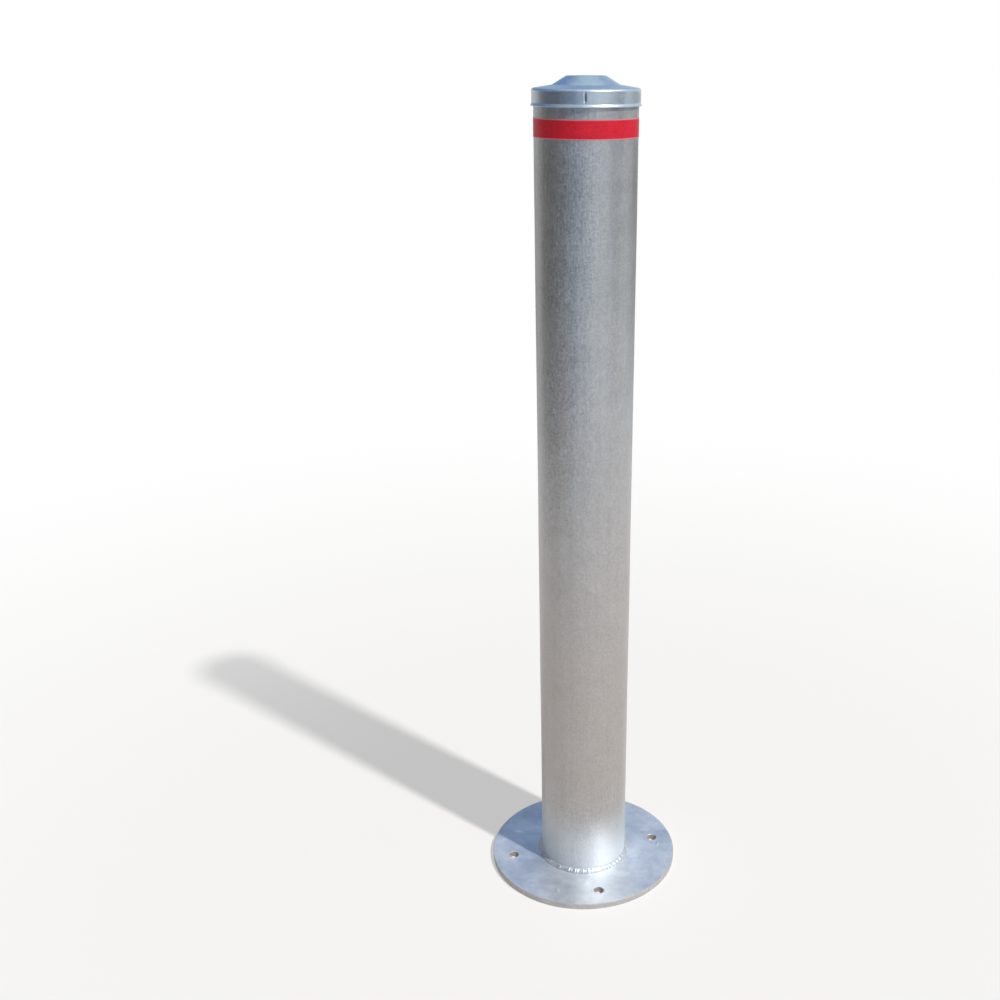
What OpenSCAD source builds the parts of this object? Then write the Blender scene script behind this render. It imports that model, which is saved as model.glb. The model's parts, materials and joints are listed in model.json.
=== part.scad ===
// Anti-collision bollard: a steel tube let into a round bolt-down plate and
// welded to it, galvanised as one, then closed by a pressed steel cap and
// ringed with a band of red reflective tape.
// Millimetres, +Z up, origin on the floor under the centre of the tube.

/* [Overall] */
// Height of the bollard, from the floor to the top of the cap
overall_h = 1000; // [500:5:1300]

/* [Tube] */
// Outside diameter of the tube
tube_d = 114; // [89:0.5:140]
// Wall thickness of the tube
tube_wall = 3; // [2:0.25:5]

/* [Base plate] */
// Outside diameter of the plate
plate_d = 250; // [230:5:320]
// Thickness of the plate
plate_t = 8; // [7:0.5:16]
// Width of the bevel round the plate's rim
plate_bevel = 0.8; // [0.3:0.1:1.5]
// Clearance all round between the tube and the plate's bore
bore_gap = 0.25; // [0.1:0.05:0.5]

/* [Anchor holes] */
// Diameter of an anchor hole
hole_d = 13; // [10:0.5:18]
// Number of anchor holes
hole_count = 4; // [3:1:8]
// Distance from the plate's rim to the centre of a hole
hole_inset = 27; // [18:1:32]
// Direction of the first hole, in degrees from +X
hole_turn = 12; // [0:1:90]

/* [Welds] */
// Leg of the fillet weld round the foot of the tube
weld_leg = 5; // [3:0.5:7]
// Spacing of the ripples along the fillet weld
weld_pitch = 5; // [4:0.5:8]
// Height of a ripple
weld_ripple = 0.4; // [0.2:0.1:0.8]
// How far the face of the fillet weld bulges
weld_bulge = 0.6; // [0.3:0.1:1]
// Leg of the weld between the tube's lower end and the plate's bore
root_leg = 2.5; // [1.5:0.1:3]
// How far the face of that weld bulges
root_bulge = 0.7; // [0.3:0.1:1]
// Clearance between that weld and the floor
root_rise = 0.5; // [0.2:0.1:2]

/* [Cap] */
// Thickness of the cap's sheet
cap_t = 1; // [0.8:0.1:1.5]
// Clearance all round between the tube and the cap's skirt
cap_gap = 0.8; // [0.5:0.1:1.2]
// Height of the skirt, from the edge of the ring to the lip
skirt_h = 17.5; // [14:0.5:40]
// Height of the flared lip
lip_h = 3; // [2:0.5:5]
// How far the lip flares out
lip_flare = 1.3; // [0.5:0.1:2]
// Width of the ring round the raised middle
ring_w = 22; // [14:0.5:26]
// How far the ring rises from its edge to the foot of the raised middle
ring_rise = 3.3; // [1:0.1:5]
// Height of the raised middle above its foot
dome_h = 9; // [6:0.5:11]
// Slope of the raised middle's side, in degrees
dome_slope = 30; // [27:0.5:45]

/* [Cap bends] */
// Bend radius between the ring and the skirt
shoulder_bend = 2.3; // [1.6:0.1:3]
// Bend radius at the foot of the raised middle
foot_bend = 3; // [2:0.5:6]
// Bend radius at the top of the raised middle
dome_bend = 2.5; // [2:0.5:6]
// Bend radius where the lip leaves the skirt
lip_bend = 3; // [2:0.5:4]

/* [Crimps] */
// Number of crimps that pinch the skirt on to the tube
crimp_count = 4; // [3:1:8]
// Direction of the first crimp, in degrees from +X
crimp_turn = -91; // [-180:1:180]
// Radius of the tool that rolls a crimp
crimp_tool_r = 2.8; // [1.5:0.1:3.5]
// Height left plain between a crimp and the flared lip
crimp_rise = 0.5; // [0:0.5:3]
// Height left plain between a crimp and the edge of the ring
crimp_fall = 1.5; // [0.5:0.5:3]

/* [Reflective band] */
// Width of the tape
band_w = 20; // [10:1:50]
// Thickness of the tape
band_t = 0.3; // [0.2:0.05:0.6]
// Distance from the cap's lip down to the tape
band_drop = 11.5; // [5:0.5:60]
// Length of the lap where the tape's ends meet
band_lap = 15; // [8:1:30]

/* [Hidden] */

$fn = 120;
bend_steps = 8;
weld_steps = 4;
weld_face_steps = 6;
past = 1;
least_chamfer = 0.3;

// Slow waves in the fillet weld's leg: how many round the tube, share of the leg, start in degrees.
leg_waves = [[3, 0.06, 40], [7, 0.04, 0]];
// Waves in the spacing of its ripples: how many round the tube, and degrees of a ripple's turn.
pitch_waves = [[5, 60], [13, 45]];
// How far the middle of a ripple lags behind its ends, in degrees of its turn.
ripple_lag = 90;

galvanised_steel = "#b4b9bd";
weld_zinc = "#c6cacc";
sheet_steel = "#9fa9b2";
reflective_red = "#d0222f";

tube_r = tube_d / 2;
bore_r = tube_r + bore_gap;
tube_in_r = tube_r - tube_wall;
tube_lift = root_leg + root_rise;
hole_circle_r = plate_d / 2 - hole_inset;

foot_z = overall_h - dome_h;
ring_z = foot_z - ring_rise;
lip_z = ring_z - skirt_h;

skirt_in_r = tube_r + cap_gap;
skirt_mid_r = skirt_in_r + cap_t / 2;
skirt_out_r = skirt_in_r + cap_t;
foot_r = skirt_out_r - ring_w;
dome_top_r = foot_r - dome_h / tan(dome_slope);

// The chamfer on the tube's upper end clears the inside of the cap's shoulder.
tube_chamfer = max(least_chamfer, shoulder_bend - cap_t / 2 - cap_gap);

// The ring's sheet rests on the inner edge of the chamfer.
ring_slope = atan(ring_rise / (skirt_mid_r - foot_r));
seat_r = tube_r - tube_chamfer;
ring_middle_z = ring_z - cap_t / 2 + (skirt_mid_r - seat_r) * tan(ring_slope);
tube_top = ring_middle_z - cap_t / 2 / cos(ring_slope);

// A crimp is as deep as the clearance, so that it bears on the tube.
crimp_axis_r = skirt_out_r - cap_gap + crimp_tool_r;
crimp_low = lip_z + lip_h + crimp_rise + crimp_tool_r;
crimp_high = ring_z - crimp_fall - crimp_tool_r;

band_top = lip_z - band_drop;
band_lap_angle = band_lap / tube_r * 180 / PI;

function unit(v) = v / norm(v);
function left_of(v) = [-v[1], v[0]];
function direction(angle) = [cos(angle), sin(angle)];
function sum(list) = list * [for (i = list) 1];

// The bend of radius r that rounds the corner b on the way from a to c.
// Each of its stations is a point and the direction to the path's left.
function bend(a, b, c, r) =
    let (
        back = unit(a - b),
        on = unit(c - b),
        half = acos(back * on) / 2,
        centre = b + unit(back + on) * r / sin(half),
        first = b + back * r / tan(half) - centre,
        start = atan2(first[1], first[0]),
        side = sign(cross(b - a, c - b))
    )
    [
        for (i = [0 : bend_steps])
            let (out = direction(start + side * (180 - 2 * half) * i / bend_steps))
            [centre + r * out, -side * out]
    ];

// The stations of a path through the points, with a bend at each corner between its ends.
function bent_path(points, radii) =
    let (last = len(points) - 1)
    [
        [points[0], left_of(unit(points[1] - points[0]))],
        for (i = [1 : last - 1])
            each bend(points[i - 1], points[i], points[i + 1], radii[i - 1]),
        [points[last], left_of(unit(points[last] - points[last - 1]))]
    ];

// The outline of a sheet of thickness t whose middle follows the path.
function sheet_outline(path, t) =
    let (last = len(path) - 1)
    concat(
        [for (i = [0 : last]) path[i][0] + path[i][1] * t / 2],
        [for (i = [last : -1 : 0]) path[i][0] - path[i][1] * t / 2]
    );

module anchor_holes() {
    for (i = [0 : hole_count - 1])
        rotate(hole_turn + i * 360 / hole_count)
            translate([hole_circle_r, 0, -past])
                cylinder(d = hole_d, h = plate_t + 2 * past);
}

// A disc with a bevelled rim, bored for the tube and drilled for the anchors.
module base_plate() {
    rim_r = plate_d / 2;
    color(galvanised_steel)
        difference() {
            rotate_extrude()
                polygon([
                    [bore_r, 0],
                    [rim_r - plate_bevel, 0],
                    [rim_r, plate_bevel],
                    [rim_r, plate_t - plate_bevel],
                    [rim_r - plate_bevel, plate_t],
                    [bore_r, plate_t]
                ]);
            anchor_holes();
        }
}

// A plain length of tube, chamfered where the cap goes over it.
module post_tube() {
    color(galvanised_steel)
        rotate_extrude()
            polygon([
                [tube_in_r, tube_lift],
                [tube_r, tube_lift],
                [tube_r, tube_top - tube_chamfer],
                [tube_r - tube_chamfer, tube_top],
                [tube_in_r, tube_top]
            ]);
}

// The welder's hand: the leg of the weld grows and shrinks a little on its way round.
function weld_leg_at(angle) =
    weld_leg * (1 + sum([for (w = leg_waves) w[1] * sin(w[0] * angle + w[2])]));

// Height of the ripples at a share s of the way from the toe to the tube.
// They curve like crescents, and their spacing wanders.
function weld_ripple_at(angle, s, ripples) =
    let (
        wander = sum([for (w = pitch_waves) w[1] * sin(w[0] * angle)]),
        phase = ripples * angle + wander + ripple_lag * sin(180 * s)
    )
    weld_ripple * (1 - cos(phase)) / 2 * sin(180 * s);

// One section through the fillet weld: the root, then the face from toe to tube.
// The root runs outside the tube by the sagitta of a step.
function weld_section(angle, root_r, ripples) =
    let (leg = weld_leg_at(angle))
    [
        [root_r, 0],
        for (i = [0 : weld_face_steps])
            let (
                s = i / weld_face_steps,
                swell = (weld_bulge * sin(180 * s) + weld_ripple_at(angle, s, ripples)) / sqrt(2)
            )
            [root_r + leg * (1 - s) + swell, leg * s + swell]
    ];

// A ring of overlapping ripples, swept from its sections.
module base_weld() {
    ripples = round(2 * PI * tube_r / weld_pitch);
    stations = ripples * weld_steps;
    root_r = tube_r / cos(180 / stations);
    sections = [for (i = [0 : stations - 1]) weld_section(i * 360 / stations, root_r, ripples)];
    corners = len(sections[0]);
    points = [
        for (i = [0 : stations - 1])
            for (p = sections[i])
                let (out = direction(i * 360 / stations) * p[0])
                [out[0], out[1], plate_t + p[1]]
    ];
    faces = [
        for (i = [0 : stations - 1])
            for (j = [0 : corners - 1])
                let (
                    here = i * corners,
                    next = (i + 1) % stations * corners,
                    up = (j + 1) % corners
                )
                each [
                    [here + j, here + up, next + up],
                    [here + j, next + up, next + j]
                ]
    ];
    color(weld_zinc)
        polyhedron(points, faces);
}

// The run of weld that closes the joint from below, in the plate's bore.
module root_weld() {
    face = [
        for (i = [0 : weld_face_steps])
            let (
                s = i / weld_face_steps,
                swell = root_bulge * sin(180 * s) / sqrt(2)
            )
            [bore_r - root_leg * s - swell, root_rise + root_leg * s - swell]
    ];
    color(weld_zinc)
        rotate_extrude()
            polygon(concat([[bore_r, tube_lift]], face));
}

// The sheet of the cap, bent from its middle out to its lip.
module cap_sheet() {
    middle_z = overall_h - cap_t / 2;
    path = bent_path(
        [
            [0, middle_z],
            [dome_top_r, middle_z],
            [foot_r, middle_z - dome_h],
            [skirt_mid_r, middle_z - dome_h - ring_rise],
            [skirt_mid_r, lip_z + lip_h],
            [skirt_mid_r + lip_flare, lip_z]
        ],
        [dome_bend, foot_bend, shoulder_bend, lip_bend]
    );
    rotate_extrude()
        polygon(sheet_outline(path, cap_t));
}

// The round-ended tool that rolls the crimps, at one of its two surfaces.
module crimp_rolls(radius) {
    for (i = [0 : crimp_count - 1])
        rotate(crimp_turn + i * 360 / crimp_count)
            translate([crimp_axis_r, 0, crimp_low]) {
                cylinder(r = radius, h = crimp_high - crimp_low);
                sphere(r = radius);
                translate([0, 0, crimp_high - crimp_low])
                    sphere(r = radius);
            }
}

// The pressed cap: the crimps push the skirt's sheet in until it bears on the tube.
module top_cap() {
    color(sheet_steel)
        difference() {
            union() {
                cap_sheet();
                intersection() {
                    crimp_rolls(crimp_tool_r + cap_t);
                    translate([0, 0, lip_z])
                        cylinder(r = skirt_mid_r, h = skirt_h - cap_t);
                }
            }
            crimp_rolls(crimp_tool_r);
        }
}

// One turn of tape, with its end lapped over its start at the back.
module reflective_band() {
    color(reflective_red)
        translate([0, 0, band_top - band_w]) {
            rotate_extrude()
                translate([tube_r, 0])
                    square([band_t, band_w]);
            rotate(90)
                rotate_extrude(angle = band_lap_angle)
                    translate([tube_r, 0])
                        square([2 * band_t, band_w]);
        }
}

base_plate();
post_tube();
base_weld();
root_weld();
top_cap();
reflective_band();
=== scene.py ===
# %% [markdown]
# # A bolt-down steel bollard
# The real thing is a length of round steel tube let into a round plate and welded there,
# dipped in molten zinc as one, then closed by a pressed steel cap and ringed with red tape.
# The solids already say where every piece is and how big it is.
# This script gives each piece a finer surface and its finish, so it starts from the solids.

# %% Load the solids
import json
import math

import bmesh
import bpy
import numpy as np
from mathutils import Matrix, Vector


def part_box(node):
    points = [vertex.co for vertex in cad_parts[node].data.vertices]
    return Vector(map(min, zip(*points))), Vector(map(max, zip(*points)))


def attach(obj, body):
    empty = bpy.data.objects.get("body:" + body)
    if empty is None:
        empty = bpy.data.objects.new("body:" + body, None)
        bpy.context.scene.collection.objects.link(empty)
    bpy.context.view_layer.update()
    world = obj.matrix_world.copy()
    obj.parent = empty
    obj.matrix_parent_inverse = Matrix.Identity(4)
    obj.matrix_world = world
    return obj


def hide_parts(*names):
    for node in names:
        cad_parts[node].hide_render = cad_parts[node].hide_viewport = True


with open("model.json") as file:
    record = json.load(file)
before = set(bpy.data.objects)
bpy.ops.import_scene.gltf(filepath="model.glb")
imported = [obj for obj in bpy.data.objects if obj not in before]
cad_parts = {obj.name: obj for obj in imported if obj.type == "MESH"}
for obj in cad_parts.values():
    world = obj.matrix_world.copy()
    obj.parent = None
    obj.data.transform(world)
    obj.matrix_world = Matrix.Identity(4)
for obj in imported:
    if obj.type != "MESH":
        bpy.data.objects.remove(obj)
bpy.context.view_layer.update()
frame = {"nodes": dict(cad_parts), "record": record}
print("solids:", sorted(frame["nodes"]))

# %% [markdown]
# ## Sizes
# Every place comes from the solids' own boxes and from the stated mount, so nothing is fitted by eye.
# What a box can't say, such as the thickness of a sheet, is a named value in millimetres.

# %% Read the sizes
MM = 0.001


def reach(node):
    """The least of a round solid's four half widths, and its lowest and highest point."""
    low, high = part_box(node)
    return min(-low.x, high.x, -low.y, high.y), low.z, high.z


plate_r, floor_z, plate_top = reach("base_plate")
tube_r, tube_foot, tube_top = reach("post_tube")
_, _, weld_high = reach("base_weld")
bore_r, _, _ = reach("root_weld")
_, _, cap_top = reach("top_cap")
_, band_low, band_high = reach("reflective_band")

holes = next(m for m in frame["record"]["mounts"] if m["name"] == "anchor_holes")["dims"]
hole_circle_r = holes["pcd_mm"] / 2 * MM
hole_r = holes["hole_r_mm"] * MM
hole_count = holes["count"]
# The first hole stands this far round from +X.
hole_turn = math.radians(12)
print(f"tube {2 * tube_r / MM:.1f} mm, plate {2 * plate_r / MM:.1f} mm, height {cap_top / MM:.1f} mm")

# %% [markdown]
# ## Surfaces as functions
# Each piece is a grid of points worked out from two parameters: one runs round the axis,
# the other along a profile. A lathe-like modifier could do the plain ones, but a function can also
# dent, ripple or crimp the surface as it goes, and its corners can be rounded for highlights.


# %% Grids
def around(profile, angles):
    """Carry an (r, z) profile round the Z axis: x = r cos a, y = r sin a, z as it is."""
    r, z = profile[..., 0], profile[..., 1]
    a = angles[:, None]
    return np.stack([r * np.cos(a), r * np.sin(a), z + 0 * a], axis=-1)


def quads(rows, cols, closed_rows, closed_cols):
    """The corner numbers of each quad of a grid whose points are counted row by row."""
    i = np.arange(rows if closed_rows else rows - 1)[:, None]
    j = np.arange(cols if closed_cols else cols - 1)[None, :]
    i2, j2 = (i + 1) % rows, (j + 1) % cols
    corners = [i * cols + j, i2 * cols + j, i2 * cols + j2, i * cols + j2]
    return np.stack([c + 0 * (i + j) for c in corners], axis=-1).reshape(-1, 4)


def grid(points, closed_rows=True, closed_cols=True, finish=0):
    """One grid of a piece: its points, its quads, and the number of the finish that it takes."""
    rows, cols = points.shape[:2]
    return points.reshape(-1, 3), quads(rows, cols, closed_rows, closed_cols), finish


print("a closed row of 4 by 2 points in quads:", quads(4, 2, True, False).tolist())

# %% Meshes
# Points nearer to each other than this are one point.
MERGE_WITHIN = 0.001 * MM
# Faces that meet at more than this angle keep a hard edge between them.
HARD_EDGE = math.radians(40)


def make_piece(name, grids, finishes):
    """Join grids into one closed mesh: merge the points they share, and smooth all but hard edges."""
    firsts = np.cumsum([0] + [len(points) for points, _, _ in grids])
    points = np.concatenate([points for points, _, _ in grids])
    faces = np.concatenate([faces + first for (_, faces, _), first in zip(grids, firsts)])
    marks = np.concatenate([np.full(len(faces), finish) for _, faces, finish in grids])
    mesh = bpy.data.meshes.new(name)
    mesh.from_pydata(points.tolist(), [], faces.tolist())
    mesh.polygons.foreach_set("material_index", marks.astype(np.int32))
    for finish in finishes:
        mesh.materials.append(finish)
    form = bmesh.new()
    form.from_mesh(mesh)
    bmesh.ops.remove_doubles(form, verts=form.verts, dist=MERGE_WITHIN)
    open_edges = sum(not edge.is_manifold for edge in form.edges)
    turned_edges = sum(not edge.is_contiguous for edge in form.edges)
    volume = form.calc_volume(signed=True) / MM**3
    form.to_mesh(mesh)
    form.free()
    mesh.shade_smooth()
    mesh.set_sharp_from_angle(angle=HARD_EDGE)
    piece = bpy.data.objects.new(name, mesh)
    bpy.context.scene.collection.objects.link(piece)
    print(f"{name}: {len(mesh.polygons)} faces, {open_edges} open edges, "
          f"{turned_edges} between faces that point opposite ways, {volume:.0f} mm3")
    return piece


print("hard edges from", round(math.degrees(HARD_EDGE)), "degrees up")


# %% Finishes and bodies
def face_centres(piece):
    """The middle of each face as distance from the axis, direction and height."""
    flat = np.empty(3 * len(piece.data.polygons))
    piece.data.polygons.foreach_get("center", flat)
    x, y, z = flat.reshape(-1, 3).T
    return np.hypot(x, y), np.arctan2(y, x), z


def mark(piece, chosen, finish):
    """Give the chosen faces the finish of that number."""
    marks = np.empty(len(piece.data.polygons), np.int32)
    piece.data.polygons.foreach_get("material_index", marks)
    marks[chosen] = finish
    piece.data.polygons.foreach_set("material_index", marks)
    print(f"{piece.name}: {int(chosen.sum())} faces marked {finish}")


def dress(piece, node):
    """The piece moves with the body and stands for that solid, whose own mesh it hides."""
    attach(piece, "root")
    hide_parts(node)


# %% Curves
def ease(x, start, end):
    """0 before start, 1 after end, and a smooth S between them: 3t squared less 2t cubed."""
    t = np.clip((x - start) / (end - start), 0, 1)
    return t * t * (3 - 2 * t)


def arc(centre, radius, start, end, steps):
    """Points on a circle between two angles in degrees: centre + radius (cos a, sin a)."""
    a = np.radians(np.linspace(start, end, steps + 1))
    return np.array(centre) + radius * np.stack([np.cos(a), np.sin(a)], axis=-1)


def spaced(path, longest):
    """The same path with points added on its straight runs, so that no step is too long."""
    runs = []
    for a, b in zip(path[:-1], path[1:]):
        steps = max(1, math.ceil(np.linalg.norm(b - a) / longest))
        runs.append(a + (b - a) * np.arange(steps)[:, None] / steps)
    return np.concatenate(runs + [path[-1:]])


print("a quarter circle in 2 steps:", arc((0, 0), 1, 0, 90, 2).round(2).tolist())

# %% [markdown]
# ## Node helpers
# Materials are trees of nodes. One small function adds a node, sets it and links its inputs.
# Colours are written as a colour picker shows them (sRGB) and turned to the linear values
# that light is reckoned in.


# %% Colours and nodes
def linear(code):
    """A hex colour turned linear: each channel c becomes ((c + 0.055) / 1.055) to the 2.4."""
    c = np.array([int(code[i:i + 2], 16) for i in (1, 3, 5)]) / 255
    return (*np.where(c <= 0.04045, c / 12.92, ((c + 0.055) / 1.055) ** 2.4), 1.0)


def add(tree, kind, inputs=None, **settings):
    """Add a node; an input is a value, or the socket that feeds it."""
    node = tree.nodes.new(kind)
    for name, value in settings.items():
        setattr(node, name, value)
    for name, value in (inputs or {}).items():
        if isinstance(value, bpy.types.NodeSocket):
            tree.links.new(value, node.inputs[name])
        else:
            node.inputs[name].default_value = value
    return node


def start_material(name, **values):
    """A material with one Principled shader, whose steady values are set on its own sockets."""
    material = bpy.data.materials.new(name)
    material.use_nodes = True
    tree = material.node_tree
    tree.nodes.clear()
    shader = add(tree, "ShaderNodeBsdfPrincipled", {k.replace("_", " "): v for k, v in values.items()})
    add(tree, "ShaderNodeOutputMaterial", {"Surface": shader.outputs["BSDF"]})
    place = add(tree, "ShaderNodeTexCoord").outputs["Object"]
    return material, tree, shader, place


print("mid grey, linear:", [round(float(c), 3) for c in linear("#808080")[:3]])


# %% Patterns and blends
def stretched(tree, place, sizes_mm):
    """Coordinates in which a pattern's unit measures these millimetres along X, Y and Z."""
    scale = [1 / (size * MM) for size in sizes_mm]
    return add(tree, "ShaderNodeMapping", {"Vector": place, "Scale": scale}).outputs["Vector"]


def noise(tree, place, sizes_mm, detail=3.0, roughness=0.5, distortion=0.0):
    """Cloudy noise between 0 and 1 whose blobs measure about these millimetres."""
    inputs = {"Vector": stretched(tree, place, sizes_mm), "Scale": 1.0, "Detail": detail,
              "Roughness": roughness, "Distortion": distortion}
    return add(tree, "ShaderNodeTexNoise", inputs).outputs["Fac"]


def blend_terms(tree, terms, middle=0.5):
    """The middle plus each term's departure from a half times its weight."""
    total = middle - sum(weight for _, weight in terms) / 2
    for value, weight in terms:
        inputs = {0: value, 1: weight, 2: total}
        total = add(tree, "ShaderNodeMath", inputs, operation="MULTIPLY_ADD").outputs[0]
    return total


def between(tree, share, low, high):
    """A number that goes from low to high as the share goes from 0 to 1."""
    inputs = {"Value": share, "To Min": low, "To Max": high}
    return add(tree, "ShaderNodeMapRange", inputs).outputs["Result"]


def mixed(tree, share, first, second):
    """A colour that goes from the first to the second as the share goes from 0 to 1."""
    node = add(tree, "ShaderNodeMix", {"Factor": share}, data_type="RGBA")
    for socket, colour in ((node.inputs[6], first), (node.inputs[7], second)):
        if isinstance(colour, bpy.types.NodeSocket):
            tree.links.new(colour, socket)
        else:
            socket.default_value = linear(colour)
    return node.outputs[2]


def times(tree, first, second):
    """One number times another."""
    return add(tree, "ShaderNodeMath", {0: first, 1: second}, operation="MULTIPLY").outputs[0]


def rising(tree, value, start, end):
    """0 up to start, 1 from end on, with a smooth S between; with end below start it falls instead."""
    inputs = {"Value": value, "From Min": start, "From Max": end}
    return add(tree, "ShaderNodeMapRange", inputs, interpolation_type="SMOOTHSTEP").outputs["Result"]


def within(tree, value, start, full, thinning, end):
    """0 up to start, 1 from full to thinning, 0 again from end on, with a smooth S between them."""
    return times(tree, rising(tree, value, start, full), rising(tree, value, end, thinning))


def nudged(tree, start, colour, amount):
    """A vector moved by a random colour's departure from its middle value, times the amount."""
    way = add(tree, "ShaderNodeVectorMath", {0: colour, 1: (0.5, 0.5, 0.5)}, operation="SUBTRACT")
    inputs = {0: way.outputs[0], 1: [amount] * 3, 2: start}
    return add(tree, "ShaderNodeVectorMath", inputs, operation="MULTIPLY_ADD").outputs[0]


print("a pattern with cells of 2 mm has a scale of", 1 / (2 * MM))

# %% [markdown]
# ## Zinc
# Hot-dip galvanising leaves a skin of zinc that freezes into flat crystals, called spangle.
# Each crystal leans its own way, so neighbours catch the light differently.
# A picture of spangle could be painted on, but it would look the same under every light.
# Here the crystals are the cells of a Voronoi pattern: each takes its own tone, and each tips the
# surface a little its own way. Clouds, streaks and fine grain are laid over them.


# %% The zinc finish
# The grain is frosting between the crystals, drawn about as coarse as the picture can show.
GRAIN_MM = 1.1
# Patches in which a coat lies thinner or thicker, in millimetres along X, Y and Z, and by how much.
PATCH_MM = [90, 90, 150]
PATCH_THIN = 0.7
PATCH_THICK = 1.3
# Noise mostly departs from its middle by about a tenth, so a bump's full depth is ten lumps.
DEPTH_IN_LUMPS = 10


def zinc(name, light, dark, spangle, cloud, streaks, weights, roughness, tip, metallic=0.6, lump=0.05,
         groove=0.3, coats=()):
    """Zinc over steel. Sizes are in millimetres; weights are for crystals, clouds, streaks, grain.

    A streak is its three sizes and its share; groove says how deep all streaks are beside the clouds.
    The roughness goes from the first to the second of its pair as the zinc dulls.
    A coat is a colour, the four heights in metres between which it comes and goes, its share at most,
    and what it adds to the roughness.
    """
    material, tree, shader, place = start_material(name, Metallic=metallic)
    crystal = spangle * MM
    wander = add(tree, "ShaderNodeTexNoise", {"Vector": place, "Scale": 0.7 / crystal, "Detail": 2.0})
    bent = nudged(tree, place, wander.outputs["Color"], crystal)
    crystals = add(tree, "ShaderNodeTexVoronoi", {"Vector": bent, "Scale": 1 / crystal})
    own_tone = add(tree, "ShaderNodeSeparateColor", {"Color": crystals.outputs["Color"]}).outputs["Red"]
    clouds = noise(tree, place, [cloud] * 3, detail=5.0, roughness=0.6, distortion=0.4)
    lines = blend_terms(tree, [(noise(tree, place, sizes), share) for *sizes, share in streaks])
    grain = noise(tree, place, [GRAIN_MM] * 3, detail=2.0, roughness=0.7)
    tone = blend_terms(tree, list(zip((own_tone, clouds, lines, grain), weights)))
    colour = mixed(tree, tone, dark, light)
    dullness = between(tree, blend_terms(tree, [(own_tone, 0.6), (clouds, 0.8)]), *roughness)
    height = add(tree, "ShaderNodeSeparateXYZ", {"Vector": place}).outputs["Z"]
    for coat_colour, heights, most, duller in coats:
        uneven = noise(tree, place, PATCH_MM, detail=4.0)
        patches = between(tree, uneven, PATCH_THIN * most, PATCH_THICK * most)
        share = times(tree, within(tree, height, *heights), patches)
        colour = mixed(tree, share, colour, coat_colour)
        inputs = {0: share, 1: duller, 2: dullness}
        dullness = add(tree, "ShaderNodeMath", inputs, operation="MULTIPLY_ADD").outputs[0]
    tree.links.new(colour, shader.inputs["Base Color"])
    tree.links.new(dullness, shader.inputs["Roughness"])
    lumps_and_lines = blend_terms(tree, [(clouds, 1.0), (grain, 0.25), (lines, groove)])
    depth = {"Height": lumps_and_lines, "Distance": lump * MM * DEPTH_IN_LUMPS, "Strength": 0.6}
    relief = add(tree, "ShaderNodeBump", depth).outputs["Normal"]
    tipped = nudged(tree, relief, crystals.outputs["Color"], tip)
    even = add(tree, "ShaderNodeVectorMath", {0: tipped}, operation="NORMALIZE")
    tree.links.new(even.outputs[0], shader.inputs["Normal"])
    return material


# %% [markdown]
# One function serves every zinc surface of the post, because the bath was the same for all.
# What differs is what lay under the zinc: drawn tube, flat plate, a burnt edge, a drilled hole,
# a weld or thin sheet. Each has its own crystals, streaks and gloss.

# %% Zinc on the tube and the plate
# Tube: fine crystals, long shallow flutes from the rolls, short upright runs of zinc that
# froze as it drained, and faint level bands.
# Low down, a warm coat is painted on as a painted reflection of a warm ground. A pale, duller coat
# round the foot is a painted reflection of the lit plate.
tube_zinc = zinc("galvanised_tube_zinc", "#CBCCCE", "#919395", spangle=1.9, cloud=34,
                 streaks=((60, 60, 1.6, 0.2), (7, 7, 420, 0.8), (2.4, 2.4, 9, 0.9)),
                 weights=(0.26, 0.4, 0.35, 0.5), roughness=(0.3, 0.4), tip=0.08, groove=1.6,
                 coats=(("#AD9788", (0.03, 0.16, 0.2, 0.75), 0.36, 0.0),
                        ("#EDF2F7", (-0.2, -0.1, 0.025, 0.105), 0.6, 0.25)))
# Flat plate lies level as it cools, so its crystals grow larger and its clouds are softer.
plate_zinc = zinc("galvanised_plate_zinc", "#F5F6F7", "#C3C8D0", spangle=6, cloud=46,
                  streaks=((70, 16, 16, 1.0),), weights=(0.16, 1.9, 0.7, 0.3), roughness=(0.38, 0.48),
                  tip=0.03, metallic=0.64)
# The plate's rim was burnt out of a sheet: zinc over upright cut marks, duller and warmer.
edge_zinc = zinc("galvanised_cut_edge", "#CFCDCC", "#9B9896", spangle=3, cloud=14,
                 streaks=((0.9, 0.9, 40, 1.0),), weights=(0.2, 0.5, 0.7, 0.3), roughness=(0.45, 0.6),
                 tip=0.03, metallic=0.3)
# Inside the holes the zinc lies thin over the drilled steel, and the walls are darker and browner than
# the plate's top.
hole_zinc = zinc("drilled_hole_zinc", "#BFB7B5", "#948C8A", spangle=2, cloud=5,
                 streaks=((30, 30, 0.8, 1.0),), weights=(0.2, 0.6, 0.5, 0.3), roughness=(0.5, 0.65),
                 tip=0.03, metallic=0.2)
print("finishes:", [finish.name for finish in (tube_zinc, plate_zinc, edge_zinc, hole_zinc)])

# %% Zinc on the welds and the cap
# Zinc runs thick and uneven over the weld's ripples. Its drops are glossier and painted near white, as a
# painted glint.
weld_zinc = zinc("galvanised_weld_bead", "#D6DADE", "#A6ABB1", spangle=2.2, cloud=7,
                 streaks=((4, 4, 4, 1.0),), weights=(0.3, 0.8, 0.4, 0.3), roughness=(0.34, 0.6),
                 tip=0.06, metallic=0.48)
drop_zinc_painted_glint = zinc("zinc_drops_on_the_weld", "#FBFCFD", "#DDE1E4", spangle=1.5, cloud=4,
                 streaks=((2, 2, 2, 1.0),), weights=(0.3, 0.6, 0.3, 0.3), roughness=(0.29, 0.36),
                 tip=0.05, metallic=0.75)
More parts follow.
